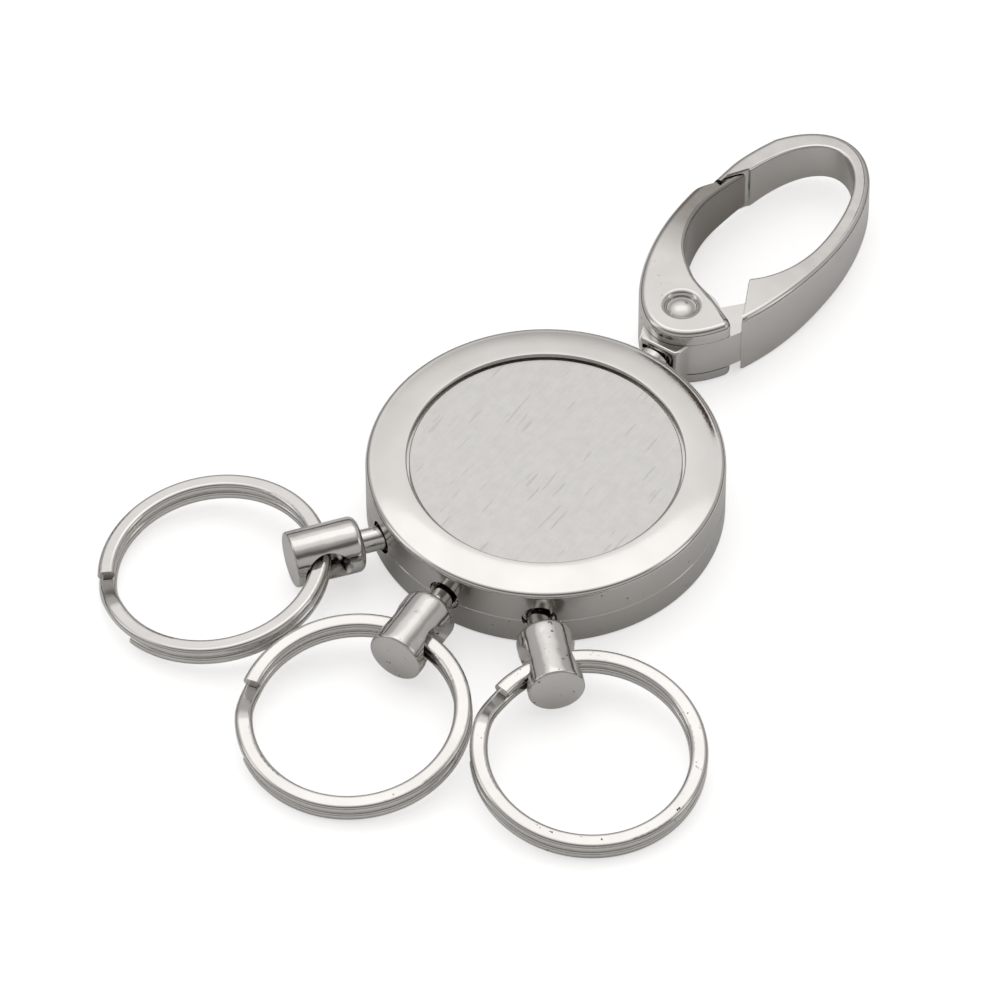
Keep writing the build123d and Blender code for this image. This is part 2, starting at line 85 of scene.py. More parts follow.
target = Vector((0, 0, DISC_HEIGHT * MM))
towards_camera = Vector((
    sin(VIEW_AZIMUTH) * cos(VIEW_ELEVATION),
    -cos(VIEW_AZIMUTH) * cos(VIEW_ELEVATION),
    sin(VIEW_ELEVATION),
))
camera_data = bpy.data.cameras.new("camera")
camera_data.lens = VIEW_LENS
camera_data.sensor_width = 36
camera_data.shift_x, camera_data.shift_y = VIEW_SHIFT
camera = bpy.data.objects.new("camera", camera_data)
camera.location = target + towards_camera * VIEW_DISTANCE
camera.rotation_euler = (-towards_camera).to_track_quat("-Z", "Y").to_euler()
bpy.context.scene.collection.objects.link(camera)
bpy.context.scene.camera = camera
bpy.context.scene.view_settings.view_transform = "Standard"
print("camera at", [round(x, 3) for x in camera.location])

# %% [markdown]
# ## Studio
# Polished metal has hardly any colour of its own: it shows the room. So the room is designed first. One
# large bright patch of sky hangs high behind the object, where the flat faces look. A dimmer band of light
# runs round the whole room a little above the horizon. The horizon itself is nearly black, and the sky
# above the band is dark on the side away from the patch. A curved edge crosses those dark parts, which
# gives it the dark line of a metal edge. A small brown card behind the object shows in reflections only.


# %% A helper that aims a lamp or a card at the object
def direction(azimuth, elevation):
    """The way to a point in the room; both angles are in degrees."""
    return Vector((
        -sin(radians(azimuth)) * cos(radians(elevation)),
        cos(radians(azimuth)) * cos(radians(elevation)),
        sin(radians(elevation)),
    ))


def aimed(data, name, azimuth, elevation, distance):
    """Links an object at the given direction and distance from the origin, with its -Z turned to it."""
    away = direction(azimuth, elevation)
    thing = bpy.data.objects.new(name, data)
    thing.location = away * distance
    thing.rotation_euler = (-away).to_track_quat("-Z", "Y").to_euler()
    bpy.context.scene.collection.objects.link(thing)
    return thing


def soft_box(name, azimuth, elevation, distance, width, height, brightness):
    """A soft box that shows in a mirror with the given brightness, where 1 is white."""
    lamp = bpy.data.lights.new(name, "AREA")
    lamp.shape = "RECTANGLE"
    lamp.size = width
    lamp.size_y = height
    lamp.energy = brightness * pi * width * height
    return aimed(lamp, name, azimuth, elevation, distance)


# %% Lamps
soft_box("box_behind", 34, 66, 0.9, 0.7, 0.4, 0.25)
soft_box("box_left", 122, 34, 0.7, 0.22, 0.5, 0.55)
soft_box("box_right", -64, 36, 0.8, 0.2, 0.45, 0.5)

# %% Sky
PATCH_TOWARDS = direction(40, 66)
PATCH_STOPS = (
    (0.00, (0.030, 0.028, 0.026, 1)),
    (0.30, (0.045, 0.042, 0.039, 1)),
    (0.55, (0.12, 0.115, 0.11, 1)),
    (0.74, (0.38, 0.375, 0.37, 1)),
    (0.90, (0.88, 0.875, 0.87, 1)),
    (1.00, (1.06, 1.06, 1.055, 1)),
)
BAND_STOPS = (
    (0.00, (0.0, 0.0, 0.0, 1)),
    (0.10, (0.02, 0.02, 0.02, 1)),
    (0.24, (0.46, 0.455, 0.45, 1)),
    (0.60, (0.50, 0.495, 0.49, 1)),
    (0.80, (0.02, 0.02, 0.02, 1)),
    (1.00, (0.0, 0.0, 0.0, 1)),
)
world = bpy.data.worlds.new("studio")
bpy.context.scene.world = world
world.use_nodes = True
sky = world.node_tree


def sky_ramp(towards, stops):
    """A colour for each direction, from how near it is to the given one: 1 is there, 0 is square to it."""
    nearness = sky.nodes.new("ShaderNodeVectorMath")
    nearness.operation = "DOT_PRODUCT"
    nearness.inputs[1].default_value = towards
    ramp = sky.nodes.new("ShaderNodeValToRGB")
    ramp.color_ramp.interpolation = "EASE"
    for place, colour in stops[1:-1]:
        ramp.color_ramp.elements.new(place).color = colour
    ramp.color_ramp.elements[0].color = stops[0][1]
    ramp.color_ramp.elements[-1].color = stops[-1][1]
    sky.links.new(sky_direction.outputs["Generated"], nearness.inputs[0])
    sky.links.new(nearness.outputs["Value"], ramp.inputs[0])
    return ramp.outputs[0]


sky_direction = sky.nodes.new("ShaderNodeTexCoord")
patch = sky_ramp(PATCH_TOWARDS, PATCH_STOPS)
band = sky_ramp((0, 0, 1), BAND_STOPS)
lighter = sky.nodes.new("ShaderNodeMix")
lighter.data_type = "RGBA"
lighter.blend_type = "LIGHTEN"
lighter.inputs["Factor"].default_value = 1.0
sky.links.new(patch, lighter.inputs[6])
sky.links.new(band, lighter.inputs[7])
sky.links.new(lighter.outputs[2], sky.nodes["Background"].inputs["Color"])

# %% Floor
FLOOR_GLOW = 0.56
floor_mesh = bpy.data.meshes.new("floor")
floor_form = bmesh.new()
bmesh.ops.create_grid(floor_form, x_segments=1, y_segments=1, size=3)
floor_form.to_mesh(floor_mesh)
floor_form.free()
floor = bpy.data.objects.new("floor", floor_mesh)
bpy.context.scene.collection.objects.link(floor)
floor_finish = bpy.data.materials.new("floor_paper")
floor_finish.use_nodes = True
floor_shader = floor_finish.node_tree.nodes["Principled BSDF"]
floor_shader.inputs["Base Color"].default_value = (0.93, 0.93, 0.925, 1)
floor_shader.inputs["Roughness"].default_value = 0.9
floor_shader.inputs["Specular IOR Level"].default_value = 0.1
sight = floor_finish.node_tree.nodes.new("ShaderNodeLightPath")
glow = floor_finish.node_tree.nodes.new("ShaderNodeMath")
glow.operation = "MULTIPLY"
glow.inputs[1].default_value = FLOOR_GLOW
floor_finish.node_tree.links.new(sight.outputs["Is Camera Ray"], glow.inputs[0])
floor_finish.node_tree.links.new(glow.outputs[0], floor_shader.inputs["Emission Strength"])
floor_shader.inputs["Emission Color"].default_value = (1, 1, 1, 1)
floor_mesh.materials.append(floor_finish)


# %% Dark card
def card_paper(name, colour):
    """A card's matt surface, which shines with its own colour so that no lamp lightens it."""
    paper = bpy.data.materials.new(name)
    paper.use_nodes = True
    shader = paper.node_tree.nodes["Principled BSDF"]
    shader.inputs["Base Color"].default_value = (0, 0, 0, 1)
    shader.inputs["Roughness"].default_value = 1.0
    shader.inputs["Specular IOR Level"].default_value = 0.0
    shader.inputs["Emission Color"].default_value = colour
    shader.inputs["Emission Strength"].default_value = 1.0
    return paper


card_brown = card_paper("card_brown", (0.045, 0.025, 0.018, 1))


def dark_card(name, azimuth, elevation, distance, width, height, roll=0):
    """A card that only shows in reflections."""
    mesh = bpy.data.meshes.new(name)
    form = bmesh.new()
    bmesh.ops.create_grid(form, x_segments=1, y_segments=1, size=0.5)
    bmesh.ops.scale(form, vec=(width, height, 1), verts=form.verts)
    form.to_mesh(mesh)
    form.free()
    mesh.materials.append(card_brown)
    card = aimed(mesh, name, azimuth, elevation, distance)
    card.rotation_euler.rotate_axis("Z", radians(roll))
    card.visible_camera = False
    card.visible_shadow = False
    card.visible_diffuse = False
    return card


dark_card("card_streak", 17.5, 34.5, 0.6, 0.15, 0.055, roll=-48)

# %% [markdown]
# ## Finishes
# Every finish below is built from the same few ideas, so the node work is wrapped once. `Signal` stands
# for the output of a node and takes part in ordinary arithmetic: `1 - mask * 0.3` adds the Math nodes for
# that sum. `Finish` owns one material and has a single method that adds a node.


# %% Shader arithmetic
class Signal:
    """The output of a shader node, written into expressions like a number."""

    def __init__(self, finish, socket):
        self.finish = finish
        self.socket = socket

    def math(self, operation, first, second=0.0, third=0.0):
        return self.finish.node("ShaderNodeMath", {"operation": operation}, {0: first, 1: second, 2: third})

    def __add__(self, other):
        return self.math("ADD", self, other)

    def __radd__(self, other):
        return self.math("ADD", other, self)

    def __sub__(self, other):
        return self.math("SUBTRACT", self, other)

    def __rsub__(self, other):
        return self.math("SUBTRACT", other, self)

    def __mul__(self, other):
        return self.math("MULTIPLY", self, other)

    def __rmul__(self, other):
        return self.math("MULTIPLY", other, self)

    def above(self, edge, softness):
        """0 under the edge, 1 over it, with a soft step between."""
        settings = {"interpolation_type": "SMOOTHSTEP"}
        limits = {"Value": self, "From Min": edge - softness, "From Max": edge + softness}
        return self.finish.node("ShaderNodeMapRange", settings, limits)


class Finish:
    """A material with one Principled shader."""

    def __init__(self, name, metallic=1.0, roughness=0.2, **constants):
        self.material = bpy.data.materials.new(name)
        self.material.use_nodes = True
        self.tree = self.material.node_tree
        self.shader = self.tree.nodes["Principled BSDF"]
        self.feed(self.shader.inputs["Metallic"], metallic)
        self.feed(self.shader.inputs["Roughness"], roughness)
        for socket, value in constants.items():
            self.feed(self.shader.inputs[socket.replace("_", " ")], value)

    def feed(self, socket, value):
        if isinstance(value, Signal):
            self.tree.links.new(value.socket, socket)
        else:
            socket.default_value = value

    def node(self, kind, settings=None, inputs=None, output=0):
        """Adds a node: first its settings, then the values and links of its sockets."""
        node = self.tree.nodes.new(kind)
        for name, value in (settings or {}).items():
            setattr(node, name, value)
        for name, value in (inputs or {}).items():
            self.feed(node.inputs[name], value)
        return Signal(self, node.outputs[output])

    def place(self, stretch=(1, 1, 1), centre=(0, 0, 0)):
        """Object coordinates, moved and stretched for a pattern."""
        coordinates = self.node("ShaderNodeTexCoord", output="Object")
        moved = self.node(
            "ShaderNodeMapping", {"vector_type": "POINT"},
            {"Vector": coordinates, "Location": [-c for c in centre]},
        )
        return self.node(
            "ShaderNodeMapping", {"vector_type": "POINT"}, {"Vector": moved, "Scale": stretch}
        )

    def noise(self, per_metre, detail=3.0, rough=0.5, **place):
        """Fractal noise about 0.5, with the given number of cells in a metre."""
        inputs = {"Vector": self.place(**place), "Scale": per_metre, "Detail": detail, "Roughness": rough}
        return self.node("ShaderNodeTexNoise", {"noise_dimensions": "3D"}, inputs)

    def mix(self, share, first, second):
        """A colour between two colours."""
        return self.node(
            "ShaderNodeMix", {"data_type": "RGBA"}, {"Factor": share, 6: first, 7: second}, output=2
        )

    def relief(self, height, depth, strength=1.0):
        """Feeds the normal with a bump of the given depth in metres."""
        bump = self.node(
            "ShaderNodeBump", inputs={"Height": height, "Distance": depth, "Strength": strength}
        )
        self.feed(self.shader.inputs["Normal"], bump)


# %% [markdown]
# ### Nickel plate
# The case, the hook, the pins and the rings are under bright nickel, which is a slightly yellow grey.
# Three things keep it from looking like a computer's chrome: a slow waviness from hand polishing, faint
# cloudy patches where fingers have been, and a few dark pits where the plate has flaked. Each piece asks
# for its own share of them. On the hook's lever a dark reflection is painted into the plate's colour towards
# the tip.

# %% Nickel
NICKEL = (0.765, 0.745, 0.72, 1)
NICKEL_DULL = (0.60, 0.58, 0.55, 1)
# painted reflection: a dark tone that stands in for a dark reflection on the lever
NICKEL_PAINTED_DARK = (0.27, 0.235, 0.21, 1)
PIT = (0.06, 0.05, 0.045, 1)


def nickel(name, gloss, wave=0.5, pits=0.0, bright=NICKEL, dull=NICKEL_DULL, painted_dark_from=None):
    """Nickel plate. gloss is the polished roughness, wave the waviness, pits the share of dark specks.

    The last argument is the place along Y, in metres, past which a dark reflection is painted into the
    plate's colour.
    """
    finish = Finish(name)
    cloud = finish.noise(160, detail=4).above(0.52, 0.22)
    grain = finish.noise(5200, detail=2)
    waves = finish.noise(420, detail=1.5)
    speck = finish.noise(1500, detail=3, rough=0.62).above(0.71 - 0.08 * pits, 0.012)
    gather = finish.noise(120, detail=2, centre=(0.003, 0.001, 0)).above(0.57 - 0.06 * pits, 0.05)
    flaw = speck * gather * min(1.0, pits * 4)
    colour = finish.mix(cloud * 0.35, bright, dull)
    # painted reflection: past that place the colour is mixed towards the dark tone
    if painted_dark_from is not None:
        along = finish.node("ShaderNodeSeparateXYZ", inputs={"Vector": finish.place()}, output="Y")
        colour = finish.mix(along.above(painted_dark_from, 0.004) * 0.75, colour, NICKEL_PAINTED_DARK)
    finish.feed(finish.shader.inputs["Base Color"], finish.mix(flaw, colour, PIT))
    finish.feed(finish.shader.inputs["Roughness"], gloss + cloud * 0.05 + grain * 0.03 + flaw * 0.4)
    finish.relief(waves * wave + grain * 0.04 - flaw * 0.6, 0.00004)
    return finish.material


case_polish = nickel("case_polish", gloss=0.055, wave=0.12)
case_side = nickel("case_side", gloss=0.11, wave=0.3, pits=0.15, bright=(0.62, 0.605, 0.575, 1))
hook_polish = nickel("hook_polish", gloss=0.13, wave=0.7, pits=0.15)
# the lever's plate carries a painted dark reflection towards its tip
lever_polish_painted_dark = nickel("lever_polish_painted_dark", gloss=0.12, wave=0.6, pits=0.15, painted_dark_from=0.0305)
pin_polish = nickel("pin_polish", gloss=0.09, wave=1.6, pits=0.5)
ring_polish = nickel("ring_polish", gloss=0.12, wave=0.6, pits=0.35)

# %% [markdown]
# ### Brushed plate
# The round plate in the front is stainless sheet with a fine brushed grain that runs along the hook's
# axis. Brushing is noise that is stretched a long way in one direction: short and dense strokes carry
# the relief, and a slower set shifts the colour and the roughness.

# %% Brushed steel
brushed = Finish("plate_brushed")
strokes = brushed.noise(1.0, detail=3, stretch=(9000, 900, 2000))
bands = brushed.noise(1.0, detail=4, stretch=(2600, 420, 900))
blotch = brushed.noise(900, detail=5, rough=0.6)
scratch = brushed.noise(1.0, detail=1, stretch=(3300, 210, 900)).above(0.70, 0.02)
tone = bands * 0.5 + blotch * 0.5
plate_colour = brushed.mix(tone.above(0.5, 0.25), (0.66, 0.645, 0.625, 1), (0.75, 0.735, 0.715, 1))
brushed.feed(brushed.shader.inputs["Base Color"], plate_colour)
brushed.feed(brushed.shader.inputs["Roughness"], 0.33 + bands * 0.10 + scratch * 0.12)
brushed.relief(strokes * 0.7 + blotch * 0.25 - scratch * 0.5, 0.000012)
plate_brushed = brushed.material

# %% [markdown]
# ### Inner materials
# The parts inside hardly show: spring wire, a brass bush, a moulded core and zinc screws. They still get
# a real finish, because the model can be opened up.


# %% Steel wire, brass, moulded plastic and zinc
def plain_metal(name, colour, second, gloss, per_metre, depth):
    """A metal with two tones and a fine grain."""
    finish = Finish(name)
    grain = finish.noise(per_metre, detail=4)
    patch = finish.noise(per_metre / 12, detail=3)
    finish.feed(finish.shader.inputs["Base Color"], finish.mix(patch.above(0.5, 0.3), colour, second))
    finish.feed(finish.shader.inputs["Roughness"], gloss + grain * 0.12)
    finish.relief(grain, depth)
    return finish.material


wire_steel = plain_metal("wire_steel", (0.52, 0.52, 0.53, 1), (0.40, 0.40, 0.41, 1), 0.22, 6000, 0.000006)
bush_brass = plain_metal("bush_brass", (0.80, 0.60, 0.28, 1), (0.68, 0.48, 0.20, 1), 0.22, 5000, 0.000006)
screw_zinc = plain_metal("screw_zinc", (0.55, 0.56, 0.58, 1), (0.45, 0.46, 0.48, 1), 0.28, 5000, 0.000008)
button_spun = plain_metal("button_spun", (0.66, 0.65, 0.63, 1), (0.58, 0.57, 0.55, 1), 0.2, 7000, 0.000006)

moulded = Finish("core_moulded", metallic=0.0, Specular_IOR_Level=0.4)
texture = moulded.noise(9000, detail=3)
shade = moulded.noise(500, detail=2)
moulded_colour = moulded.mix(shade, (0.03, 0.03, 0.032, 1), (0.06, 0.06, 0.062, 1))
moulded.feed(moulded.shader.inputs["Base Color"], moulded_colour)
moulded.feed(moulded.shader.inputs["Roughness"], 0.5 + texture * 0.15)
moulded.relief(texture, 0.00001)
core_moulded = moulded.material

# %% [markdown]
# ## Helpers for the mesh work
# Three helpers carry most of the modelling. `ellipse_arc` gives the points of a round stretch. `turned`
# spins a profile into a lathe part. `cut` takes one shape out of another and cleans up after itself.


# %% Mesh helpers
def ellipse_arc(centre, half_width, half_height, start, end, steps):
    """Points in millimetres along an ellipse, from one angle in degrees to another, ends included."""
    angles = [radians(start + (end - start) * i / steps) for i in range(steps + 1)]
    return [(centre[0] + half_width * cos(a), centre[1] + half_height * sin(a)) for a in angles]


def between(a, b, c, d, t):
    """The Catmull-Rom value at t on the way from b to c, with a before them and d after."""
    return 0.5 * (
        2 * b + (c - a) * t + (2 * a - 5 * b + 4 * c - d) * t**2 + (3 * b - a - 3 * c + d) * t**3
    )


def flowing(points, steps):
    """A smooth line through the points, as a Catmull-Rom curve; its last point is left out."""
    padded = [points[0]] + list(points) + [points[-1]]
    line = []
    for before, first, second, after in zip(padded, padded[1:], padded[2:], padded[3:]):
        for i in range(steps):
            t = i / steps
            line.append(tuple(between(*four, t) for four in zip(before, first, second, after)))
    return line


def new_object(name, form):
    """Turns a bmesh in millimetres into an object in metres."""
    mesh = bpy.data.meshes.new(name)
    bmesh.ops.scale(form, vec=(MM, MM, MM), verts=form.verts)
    form.to_mesh(mesh)
    form.free()
    thing = bpy.data.objects.new(name, mesh)
    bpy.context.scene.collection.objects.link(thing)
    return thing


def turned(name, profile, axis=(0, 0, 1), across=(1, 0, 0), base=(0, 0, 0), steps=ROUND_STEPS):
    """A lathe part: profile points are (radius, height), spun round the axis through base."""
    form = bmesh.new()
    up, side, start = Vector(axis).normalized(), Vector(across).normalized(), Vector(base)
    points = [form.verts.new(start + side * radius + up * height) for radius, height in profile]
    for first, second in zip(points, points[1:]):
        form.edges.new((first, second))
    bmesh.ops.spin(
        form, geom=form.verts[:] + form.edges[:], cent=start, axis=up,
        angle=2 * pi, steps=steps, use_merge=True,
    )
    bmesh.ops.remove_doubles(form, verts=form.verts, dist=0.0005)
    bmesh.ops.recalc_face_normals(form, faces=form.faces)
    return new_object(name, form)


def settled(thing):
    """Applies an object's modifiers to its mesh."""
    graph = bpy.context.evaluated_depsgraph_get()
    mesh = bpy.data.meshes.new_from_object(thing.evaluated_get(graph))
    thing.modifiers.clear()
    thing.data = mesh
    return thing


def cut(thing, cutter, operation="DIFFERENCE"):
    """Takes the cutter out of the object, or joins it, and removes the cutter."""
    step = thing.modifiers.new("cut", "BOOLEAN")
    step.operation = operation
    step.object = cutter
    step.solver = "EXACT"
    settled(thing)
    bpy.data.objects.remove(cutter)
    return thing


def smooth(thing, angle=32):
    """Smooth faces with a crisp line at every edge sharper than the angle, and flat faces kept flat."""
    form = bmesh.new()
    form.from_mesh(thing.data)
    for face in form.faces:
        face.smooth = True
    for edge in form.edges:
        edge.smooth = len(edge.link_faces) == 2 and edge.calc_face_angle(0) < radians(angle)
    form.to_mesh(thing.data)
    form.free()
    weighted = thing.modifiers.new("even_normals", "WEIGHTED_NORMAL")
    weighted.keep_sharp = True
    weighted.weight = 60
    return thing


def finish_piece(thing, body, slot, materials, *nodes):
    """Gives the piece its materials, its body and the nodes that it stands for."""
    if len(thing.data.materials) == 0:
        for material in materials:
            thing.data.materials.append(material)
    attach(thing, body)
    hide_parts(*nodes)
    print(thing.name, len(thing.data.polygons), "faces")
    return thing


# %% [markdown]
# ## The case
# Both shells are lathe parts. The front one carries the wide crowned bezel: its face falls by 0.3 mm from
# the recess to the rim, and that slight crown is what bends the bright patch's reflection into a
# gradient. The rim has three holes for the ring holders and one for the hook, drilled afterwards
# with round cutters, as on the real part.

# %% Holes in the rim
SLEEVE_DRILL = (1.55, 6.0)
DRILL_BACK = 9
POST_DRILL = (2.02, 5.0)
POST_DRILL_Y = 13.2
drills = []
for number in (1, 2, 3):
    pull = joint(f"sleeve_pull_{number}")
    swivel = joint(f"pin_swivel_{number}")
    outward = Vector(pull["axis"]).normalized()
    hole = Vector(swivel["pos_m"]) / MM
    drills.append((hole - outward * DRILL_BACK, outward, *SLEEVE_DRILL))
drills.append((Vector((0, POST_DRILL_Y, MID_Z)), Vector((0, 1, 0)), *POST_DRILL))


def drill_rim(shell):
    """Drills the four holes; each drill is a base point, a direction, a radius and a length."""
    for base, along, radius, length in drills:
        side = Vector((0, 0, 1)).cross(along)
        profile = [(0, 0), (radius, 0), (radius, length), (0, length)]
        tool = turned("drill", profile, axis=along, across=side, base=base, steps=72)
        cut(shell, tool)
    return shell


def two_finishes(shell):
    """The upright wall of the rim gets its own finish, and everything else is polished."""
    for material in (case_polish, case_side):
        shell.data.materials.append(material)
    for face in shell.data.polygons:
        upright = abs(face.normal.z) < 0.3
        outside = Vector(face.center[:2]).length > (DISC_RADIUS - 0.12) * MM
        face.material_index = 1 if upright and outside else 0


# %% Front shell
INNER_RADIUS = 14.9
FRONT_CEILING = 5.2
RIM_TOP = 4.6
CROWN_INNER = 12.75
CROWN_OUTER = 15.8
CROWN_DROP = 0.3
EDGE_ROUND = 0.55
SEAM = 0.04
crown_steps = 14
crown = []
for i in range(crown_steps + 1):
    share = i / crown_steps
    crown.append((CROWN_INNER + (CROWN_OUTER - CROWN_INNER) * share, DISC_HEIGHT - CROWN_DROP * share**1.8))
corner_centre = (CROWN_OUTER, DISC_HEIGHT - CROWN_DROP - EDGE_ROUND)
rim_corner = ellipse_arc(corner_centre, EDGE_ROUND, EDGE_ROUND, 80, 0, 8)
lip = ellipse_arc((CROWN_INNER, DISC_HEIGHT - 0.15), 0.15, 0.15, 180, 100, 5)
front_profile = (
    [(0, FRONT_CEILING), (0, RECESS_FLOOR), (RECESS_RADIUS, RECESS_FLOOR)]
    + lip + crown + rim_corner
    + [(DISC_RADIUS, RIM_TOP), (DISC_RADIUS, SPLIT_Z + SEAM), (DISC_RADIUS - SEAM, SPLIT_Z)]
    + [(INNER_RADIUS, SPLIT_Z), (INNER_RADIUS, FRONT_CEILING), (0, FRONT_CEILING)]
)
case_front = drill_rim(turned("case_front", front_profile))
two_finishes(case_front)
smooth(case_front)
finish_piece(case_front, "housing", "polished_shell", (), "front_shell")

# %% Back shell
BACK_FLOOR = 0.8
BACK_ROUND = 0.45
WINDOW_RADIUS = 4.1
back_corner = ellipse_arc((DISC_RADIUS - BACK_ROUND, BACK_ROUND), BACK_ROUND, BACK_ROUND, -90, 0, 8)
window = ellipse_arc((4.35, 0.25), 0.25, 0.25, 180, 270, 5)
back_profile = (
    [(WINDOW_RADIUS, BACK_FLOOR)] + window + back_corner
    + [(DISC_RADIUS, SPLIT_Z - SEAM), (DISC_RADIUS - SEAM, SPLIT_Z)]
    + [(INNER_RADIUS, SPLIT_Z), (INNER_RADIUS, BACK_FLOOR), (WINDOW_RADIUS, BACK_FLOOR)]
)
case_back = drill_rim(turned("case_back", back_profile))
two_finishes(case_back)
smooth(case_back)
finish_piece(case_back, "housing", "polished_shell", (), "back_shell")

# %% Front plate
PLATE_BREAK = 0.08
plate_profile = [
    (0, RECESS_FLOOR), (0, PLATE_TOP), (PLATE_RADIUS - PLATE_BREAK, PLATE_TOP),
    (PLATE_RADIUS, PLATE_TOP - PLATE_BREAK), (PLATE_RADIUS, RECESS_FLOOR), (0, RECESS_FLOOR),
]
emblem_plate = smooth(turned("emblem_plate", plate_profile))
finish_piece(emblem_plate, "housing", "brushed_plate", [plate_brushed], "front_plate")

# %% [markdown]
# ## The hook
# The hook is two castings: a frame with an open loop, and a gate that closes it. Both are slabs with an
# outline and broken edges, so one function makes them: it fills the outline, extrudes it and gives every
# rim edge a bevel weight, so that the outer edges get a wide round, the inner ones a narrower one, and the
# seams stay crisp. A taper then makes both faces fall towards the nose, past the pivot.

# %% Slab with weighted rims
LOOP_CENTRE = (0, 35.9)
LOOP_WIDTH = 7.8
LOOP_NOSE = 14.35
LOOP_TAIL = 17.0
EYE_CENTRE = (0.4, 36.5)
EYE_WIDTH = 5.6
EYE_NOSE = 11.95
EYE_TAIL = 8.6
TAPER_FROM = 29.0
TAPER_SLOPE = 0.072
BEND_HALF = 3


def slab(name, outline, bottom, top, rim, segments=5):
    """outline is a list of (x, y, weight): the weight belongs to the edge from that point to the next."""
    form = bmesh.new()
    corners = [form.verts.new((x, y, bottom)) for x, y, weight in outline]
    base = form.faces.new(corners)
    raised = bmesh.ops.extrude_face_region(form, geom=[base])
    lifted = [item for item in raised["geom"] if isinstance(item, bmesh.types.BMVert)]
    bmesh.ops.translate(form, vec=(0, 0, top - bottom), verts=lifted)
    bmesh.ops.recalc_face_normals(form, faces=form.faces)
    weights = {}
    for (x, y, weight), (next_x, next_y, _) in zip(outline, outline[1:] + outline[:1]):
        weights[round((x + next_x) / 2, 3), round((y + next_y) / 2, 3)] = weight
    layer = form.edges.layers.float.new("bevel_weight_edge")
    for edge in form.edges:
        first, second = edge.verts
        if abs(first.co.z - second.co.z) < 1e-5:
            middle = (first.co + second.co) / 2
            edge[layer] = weights[round(middle.x, 3), round(middle.y, 3)]
    thing = new_object(name, form)
    rounded = thing.modifiers.new("rims", "BEVEL")
    rounded.limit_method = "WEIGHT"
    rounded.width = rim * MM
    rounded.segments = segments
    rounded.miter_outer = "MITER_SHARP"
    rounded.use_clamp_overlap = False
    return settled(thing)


def taper(thing, slope=TAPER_SLOPE):
    """Past the pivot both faces fall towards the nose: first in a soft bend, then evenly."""
    form = bmesh.new()
    form.from_mesh(thing.data)
    for step in range(2 * BEND_HALF + 1):
        bmesh.ops.bisect_plane(
            form, geom=form.verts[:] + form.edges[:] + form.faces[:], dist=1e-7,
            plane_co=(0, (TAPER_FROM - BEND_HALF + step) * MM, 0), plane_no=(0, 1, 0),
        )
    for vert in form.verts:
        past = vert.co.y / MM - TAPER_FROM
        if past > -BEND_HALF:
            drop = slope * (past if past > BEND_HALF else (past + BEND_HALF) ** 2 / (4 * BEND_HALF))
            vert.co.z = (MID_Z + (vert.co.z / MM - MID_Z) * (1 - drop / MID_Z)) * MM
    form.to_mesh(thing.data)
    form.free()
    return thing


def weighted(points, weight):
    return [(x, y, weight) for x, y in points]


# %% Hook frame
OUTER_EDGE, INNER_EDGE, SEAM_EDGE = 1.0, 0.55, 0.16
NOSE_LINE = ((-5.32, 46.395), (-6.1, 43.9), (-6.6, 41.4), (-6.75, 38.2))
frame_outline = (
    weighted(ellipse_arc(LOOP_CENTRE, LOOP_WIDTH, LOOP_TAIL, -44.66, 0, 26)[:-1], OUTER_EDGE)
    + weighted(ellipse_arc(LOOP_CENTRE, LOOP_WIDTH, LOOP_NOSE, 0, 133, 60), OUTER_EDGE)
    + weighted(flowing(NOSE_LINE, 8)[1:], OUTER_EDGE)
    + [(*NOSE_LINE[-1], SEAM_EDGE), (-4.95, 41.35, SEAM_EDGE)]
    + weighted(ellipse_arc(EYE_CENTRE, EYE_WIDTH, EYE_NOSE, 156.05, 0, 60)[:-1], INNER_EDGE)
    + weighted(ellipse_arc(EYE_CENTRE, EYE_WIDTH, EYE_TAIL, 0, -60.5, 24)[:-1], INNER_EDGE)
    + [(3.157, 29.01, SEAM_EDGE), (3.4, 28.4, SEAM_EDGE)]
)
hook_loop = taper(slab("hook_loop", frame_outline, 0, DISC_HEIGHT, 0.6, segments=6))

# %% [markdown]
# The web is the thin part of the frame between the gate's two cheeks. It ends in a block that takes the
# swivel post. Frame and web are one casting, so they are joined with a boolean, and a small pocket is
# sunk where the post enters.

# %% Web of the frame
WEB_BOTTOM = 1.5
WEB_TOP = DISC_HEIGHT - WEB_BOTTOM
WEB_ROUND = 3.7
BLOCK_Y = 18.15
web_outline = (
    weighted([(5.0, 26.6), (4.6, 28.2), (3.5, 28.4), (3.9, 27.3)], SEAM_EDGE)
    + weighted(ellipse_arc(HOOK_PIVOT, WEB_ROUND, WEB_ROUND, 48.3, 194, 30)[:-1], SEAM_EDGE)
    + weighted(ellipse_arc(LOOP_CENTRE, LOOP_WIDTH, LOOP_TAIL, 236.8, 251.3, 8), SEAM_EDGE)
    + weighted(ellipse_arc((-1.5, BLOCK_Y + 0.6), 0.6, 0.6, 180, 270, 6), OUTER_EDGE)
    + weighted(ellipse_arc((1.7, BLOCK_Y + 0.6), 0.6, 0.6, 270, 360, 6), OUTER_EDGE)
    + weighted(ellipse_arc(LOOP_CENTRE, LOOP_WIDTH, LOOP_TAIL, 288.7, 315.2, 14), SEAM_EDGE)
)
hook_web = slab("hook_web", web_outline, WEB_BOTTOM, WEB_TOP, 0.3, segments=3)
cut(hook_loop, hook_web, "UNION")

POCKET_SIZE = (3.0, 1.6, 2.9)
pocket_form = bmesh.new()
bmesh.ops.create_cube(pocket_form, size=1)
bmesh.ops.scale(pocket_form, vec=POCKET_SIZE, verts=pocket_form.verts)
bmesh.ops.translate(pocket_form, vec=(0, BLOCK_Y, MID_Z), verts=pocket_form.verts)
bmesh.ops.bevel(
    pocket_form, geom=pocket_form.edges[:], offset=0.2, segments=3, profile=0.5,
    affect="EDGES", material=-1,
)
cut(hook_loop, new_object("pocket", pocket_form))
smooth(hook_loop, 38)
finish_piece(hook_loop, "hook", "satin_hook", [hook_polish], "hook_frame")

